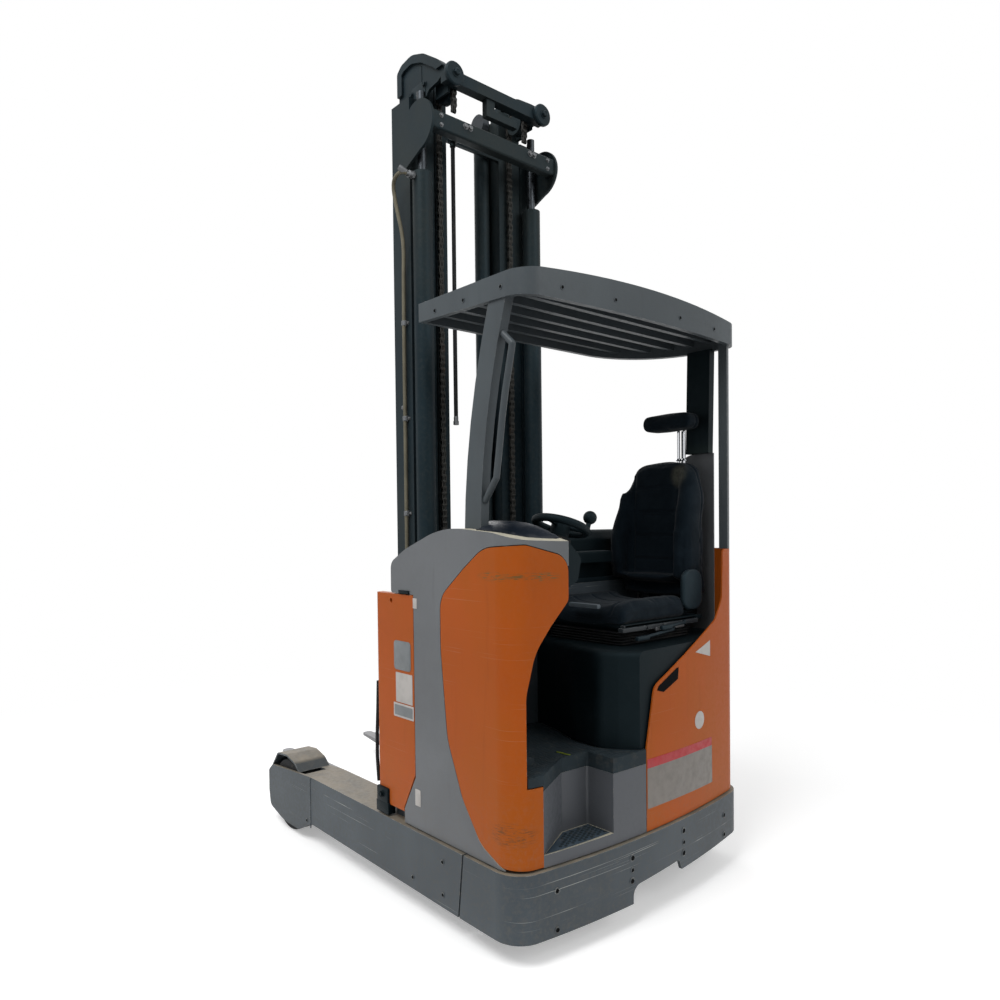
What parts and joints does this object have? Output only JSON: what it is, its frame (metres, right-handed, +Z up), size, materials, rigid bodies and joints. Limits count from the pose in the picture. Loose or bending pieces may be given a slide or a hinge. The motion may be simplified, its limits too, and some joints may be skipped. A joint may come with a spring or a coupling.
{
  "type": "electric reach truck",
  "caption": "Sit-on electric reach truck: cab under an overhead guard, battery, load arms and a reaching three-stage mast with forks",
  "frame": {"origin": "on the floor, on the centreline, midway between the tail and the fork tips", "axes": "+X forward towards the fork tips, +Y left, +Z up"},
  "size_m": [2.408, 1.27, 3.3966],
  "materials": {
    "chassis_grey": "satin paint, worn edges",
    "panel_grey": "semi-gloss paint",
    "panel_orange": "semi-gloss orange paint, scuffed",
    "guard_grey": "semi-gloss paint",
    "mast_black": "dark satin paint",
    "bright_rod": "ground chrome",
    "steel": "bare steel",
    "chain_steel": "oiled chain",
    "tyre": "solid tyre",
    "cab_black": "grained plastic",
    "mat_rubber": "ribbed rubber",
    "seat_fabric": "black woven seat fabric",
    "battery_steel": "coated battery trough",
    "hose": "hydraulic hose",
    "drive_motor": "cast housing"
  },
  "bodies": {
    "chassis": {"chassis_skirt": "chassis_grey", "chassis_frame": "chassis_grey", "load_arm_left": "chassis_grey", "load_arm_right": "chassis_grey", "wheel_hoods": "chassis_grey", "battery": "battery_steel", "battery_covers": "panel_orange", "corner_panel": "panel_orange", "console_hood": "panel_grey", "rear_panel": "panel_orange", "right_wall": "panel_grey", "cab_liner": "cab_black", "cab_floor": "panel_grey", "floor_mat": "mat_rubber", "dashboard": "cab_black", "pedals": "mat_rubber", "guard_roof": "guard_grey", "guard_ribs": "guard_grey", "pillar_left": "guard_grey", "pillar_rear": "guard_grey", "pillar_right": "cab_black", "grab_rail": "guard_grey", "seat_base": "cab_black", "seat_cushion": "seat_fabric", "seat_back": "seat_fabric", "headrest": "seat_fabric", "armrest": "cab_black", "reach_cylinder": "mast_black"},
    "steering_wheel_body": {"steering_wheel": "cab_black"},
    "drive_turntable": {"drive_unit": "drive_motor"},
    "drive_wheel": {"drive_hub": "steel", "drive_tyre": "tyre"},
    "load_wheel_left": {"load_hub_left": "steel", "load_tyre_left": "tyre"},
    "load_wheel_right": {"load_hub_right": "steel", "load_tyre_right": "tyre"},
    "reach_body": {"reach_carriage": "mast_black"},
    "mast_outer": {"outer_mast": "mast_black", "lift_cylinders": "mast_black", "mast_hoses": "hose"},
    "tilt_barrel_body": {"tilt_barrels": "mast_black"},
    "tilt_rod_body": {"tilt_rods": "bright_rod"},
    "mast_middle": {"middle_mast": "mast_black", "lift_rods": "bright_rod", "lift_chains": "chain_steel"},
    "mast_inner": {"inner_mast": "mast_black", "free_lift_cylinder": "mast_black"},
    "free_lift_head": {"free_lift_rod": "bright_rod"},
    "fork_body": {"fork_plate": "mast_black", "fork_left": "steel", "fork_right": "steel"}
  },
  "joints": [
    {"name": "steering", "type": "hinge", "parent": "chassis", "child": "steering_wheel_body", "pos_m": [-0.998, 0.262, 1.39], "axis": [0, -0.342, 0.9397], "continuous": true},
    {"name": "drive_steer", "type": "hinge", "parent": "chassis", "child": "drive_turntable", "pos_m": [-0.895, -0.065, 0.37], "axis": [0, 0, 1], "range_deg": [-90, 90]},
    {"name": "drive_spin", "type": "hinge", "parent": "drive_turntable", "child": "drive_wheel", "pos_m": [-0.895, -0.065, 0.172], "axis": [0, 1, 0], "continuous": true},
    {"name": "load_spin_left", "type": "hinge", "parent": "chassis", "child": "load_wheel_left", "pos_m": [0.42, 0.5685, 0.16], "axis": [0, 1, 0], "continuous": true},
    {"name": "load_spin_right", "type": "hinge", "parent": "chassis", "child": "load_wheel_right", "pos_m": [0.42, -0.5685, 0.16], "axis": [0, 1, 0], "continuous": true},
    {"name": "reach", "type": "slide", "parent": "chassis", "child": "reach_body", "axis": [1, 0, 0], "range_m": [0, 0.56]},
    {"name": "mast_tilt", "type": "hinge", "parent": "reach_body", "child": "mast_outer", "pos_m": [-0.155, 0, 0.17], "axis": [0, 1, 0], "range_deg": [-3, 1]},
    {"name": "tilt_barrel_swing", "type": "hinge", "parent": "reach_body", "child": "tilt_barrel_body", "pos_m": [-0.3, 0, 0.25], "axis": [0, 1, 0], "range_deg": [-6, 4]},
    {"name": "tilt_rod_slide", "type": "slide", "parent": "tilt_barrel_body", "child": "tilt_rod_body", "axis": [0.3867, 0, 0.9222], "range_m": [-0.03, 0.03]},
    {"name": "mast_lift", "type": "slide", "parent": "mast_outer", "child": "mast_middle", "axis": [0, 0, 1], "range_m": [0, 2.6]},
    {"name": "inner_lift", "type": "slide", "parent": "mast_middle", "child": "mast_inner", "axis": [0, 0, 1], "range_m": [0, 2.6]},
    {"name": "fork_lift", "type": "slide", "parent": "mast_inner", "child": "fork_body", "axis": [0, 0, 1], "range_m": [-0.07, 2.5]},
    {"name": "free_lift_rod_slide", "type": "slide", "parent": "mast_inner", "child": "free_lift_head", "axis": [0, 0, 1], "range_m": [-0.035, 1.25]}
  ],
  "couplings": [
    {"joint": "tilt_barrel_swing", "follows": "mast_tilt", "ratio": 1.0527},
    {"joint": "tilt_rod_slide", "follows": "mast_tilt", "m_per_rad": 0.1647},
    {"joint": "inner_lift", "follows": "mast_lift", "ratio": 1},
    {"joint": "free_lift_rod_slide", "follows": "fork_lift", "ratio": 0.5}
  ]
}
